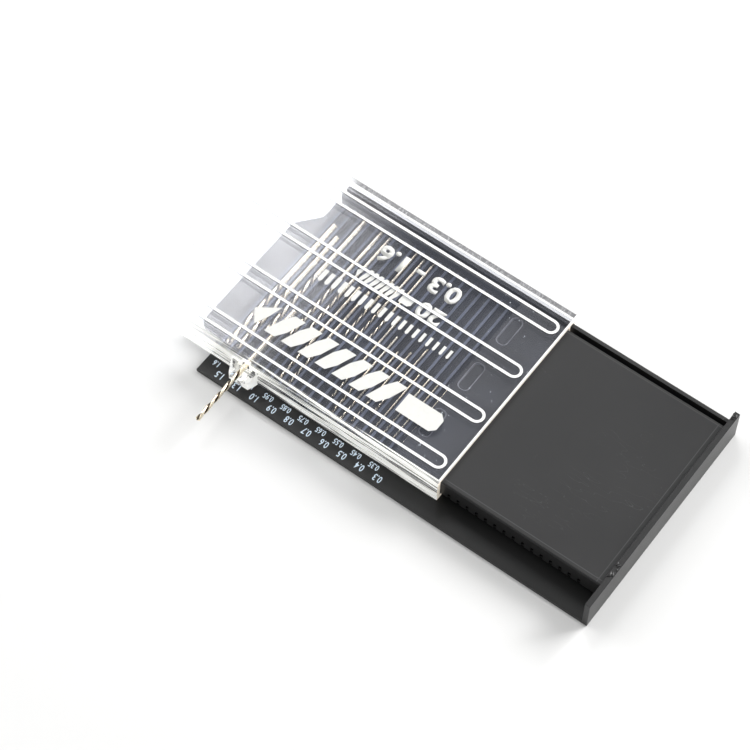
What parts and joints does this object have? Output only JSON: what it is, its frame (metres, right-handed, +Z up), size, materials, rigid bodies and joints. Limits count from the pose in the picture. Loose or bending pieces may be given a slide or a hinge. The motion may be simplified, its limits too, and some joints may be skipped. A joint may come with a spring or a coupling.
{
  "type": "sliding-cover twist drill box",
  "caption": "Flat dispenser box for small twist drills: a black tray with a row of channels under a clear sliding cover whose chute lets one size out at a time.",
  "frame": {"origin": "middle of the tray's underside, on the table plane", "axes": "+X along the box, from the tray's end wall to its open end (the way the cover slides open); +Y from the back rim to the number strip (the way a drill leaves); +Z up"},
  "size_m": [0.157, 0.0763, 0.0098],
  "materials": {
    "black_abs": "moulded matte black plastic with a fine grain",
    "clear_polystyrene": "polished clear plastic with raised ribs",
    "ground_steel": "bright ground high speed steel with a faint straw tint"
  },
  "bodies": {
    "tray": {"tray": "black_abs"},
    "cover": {"cover": "clear_polystyrene"},
    "drill_0_30mm": {"drill_0_30mm": "ground_steel"},
    "drill_0_35mm": {"drill_0_35mm": "ground_steel"},
    "drill_0_40mm": {"drill_0_40mm": "ground_steel"},
    "drill_0_45mm": {"drill_0_45mm": "ground_steel"},
    "drill_0_50mm": {"drill_0_50mm": "ground_steel"},
    "drill_0_55mm": {"drill_0_55mm": "ground_steel"},
    "drill_0_60mm": {"drill_0_60mm": "ground_steel"},
    "drill_0_65mm": {"drill_0_65mm": "ground_steel"},
    "drill_0_70mm": {"drill_0_70mm": "ground_steel"},
    "drill_0_75mm": {"drill_0_75mm": "ground_steel"},
    "drill_0_80mm": {"drill_0_80mm": "ground_steel"},
    "drill_0_85mm": {"drill_0_85mm": "ground_steel"},
    "drill_0_90mm": {"drill_0_90mm": "ground_steel"},
    "drill_0_95mm": {"drill_0_95mm": "ground_steel"},
    "drill_1_00mm": {"drill_1_00mm": "ground_steel"},
    "drill_1_20mm": {"drill_1_20mm": "ground_steel"},
    "drill_1_30mm": {"drill_1_30mm": "ground_steel"},
    "drill_1_40mm": {"drill_1_40mm": "ground_steel"},
    "drill_1_50mm": {"drill_1_50mm": "ground_steel"},
    "drill_1_60mm": {"drill_1_60mm": "ground_steel"}
  },
  "joints": [
    {"name": "cover_slide", "type": "slide", "parent": "tray", "child": "cover", "axis": [1, 0, 0], "range_m": [-0.0442, 0.0078]},
    {"name": "drill_0_30mm_slide", "type": "slide", "parent": "tray", "child": "drill_0_30mm", "axis": [0, 1, 0], "range_m": [-0.0273, 0.0047]},
    {"name": "drill_0_35mm_slide", "type": "slide", "parent": "tray", "child": "drill_0_35mm", "axis": [0, 1, 0], "range_m": [-0.0271, 0.0049]},
    {"name": "drill_0_40mm_slide", "type": "slide", "parent": "tray", "child": "drill_0_40mm", "axis": [0, 1, 0], "range_m": [-0.0269, 0.0041]},
    {"name": "drill_0_45mm_slide", "type": "slide", "parent": "tray", "child": "drill_0_45mm", "axis": [0, 1, 0], "range_m": [-0.0284, 0.0026]},
    {"name": "drill_0_50mm_slide", "type": "slide", "parent": "tray", "child": "drill_0_50mm", "axis": [0, 1, 0], "range_m": [-0.0215, 0.0075]},
    {"name": "drill_0_55mm_slide", "type": "slide", "parent": "tray", "child": "drill_0_55mm", "axis": [0, 1, 0], "range_m": [-0.0246, 0.0024]},
    {"name": "drill_0_60mm_slide", "type": "slide", "parent": "tray", "child": "drill_0_60mm", "axis": [0, 1, 0], "range_m": [-0.0264, 0.0006]},
    {"name": "drill_0_65mm_slide", "type": "slide", "parent": "tray", "child": "drill_0_65mm", "axis": [0, 1, 0], "range_m": [-0.0231, 0.0019]},
    {"name": "drill_0_70mm_slide", "type": "slide", "parent": "tray", "child": "drill_0_70mm", "axis": [0, 1, 0], "range_m": [-0.0179, 0.0051]},
    {"name": "drill_0_75mm_slide", "type": "slide", "parent": "tray", "child": "drill_0_75mm", "axis": [0, 1, 0], "range_m": [-0.0003, 0.0227]},
    {"name": "drill_0_80mm_slide", "type": "slide", "parent": "tray", "child": "drill_0_80mm", "axis": [0, 1, 0], "range_m": [-0.0012, 0.0198]},
    {"name": "drill_0_85mm_slide", "type": "slide", "parent": "tray", "child": "drill_0_85mm", "axis": [0, 1, 0], "range_m": [-0.0006, 0.0204]},
    {"name": "drill_0_90mm_slide", "type": "slide", "parent": "tray", "child": "drill_0_90mm", "axis": [0, 1, 0], "range_m": [-0.0168, 0.0022]},
    {"name": "drill_0_95mm_slide", "type": "slide", "parent": "tray", "child": "drill_0_95mm", "axis": [0, 1, 0], "range_m": [-0.0172, 0.0018]},
    {"name": "drill_1_00mm_slide", "type": "slide", "parent": "tray", "child": "drill_1_00mm", "axis": [0, 1, 0], "range_m": [-0.0008, 0.0162]},
    {"name": "drill_1_20mm_slide", "type": "slide", "parent": "tray", "child": "drill_1_20mm", "axis": [0, 1, 0], "range_m": [-0.0003, 0.0127]},
    {"name": "drill_1_30mm_slide", "type": "slide", "parent": "cover", "child": "drill_1_30mm", "axis": [0, -1, 0], "range_m": [-0.021, 0.0325]},
    {"name": "drill_1_40mm_slide", "type": "slide", "parent": "tray", "child": "drill_1_40mm", "axis": [0, 1, 0], "range_m": [-0.0007, 0.0102]},
    {"name": "drill_1_50mm_slide", "type": "slide", "parent": "tray", "child": "drill_1_50mm", "axis": [0, 1, 0], "range_m": [-0.0089, 0.0021]},
    {"name": "drill_1_60mm_slide", "type": "slide", "parent": "tray", "child": "drill_1_60mm", "axis": [0, 1, 0], "range_m": [-0.0064, 0.0016]}
  ]
}
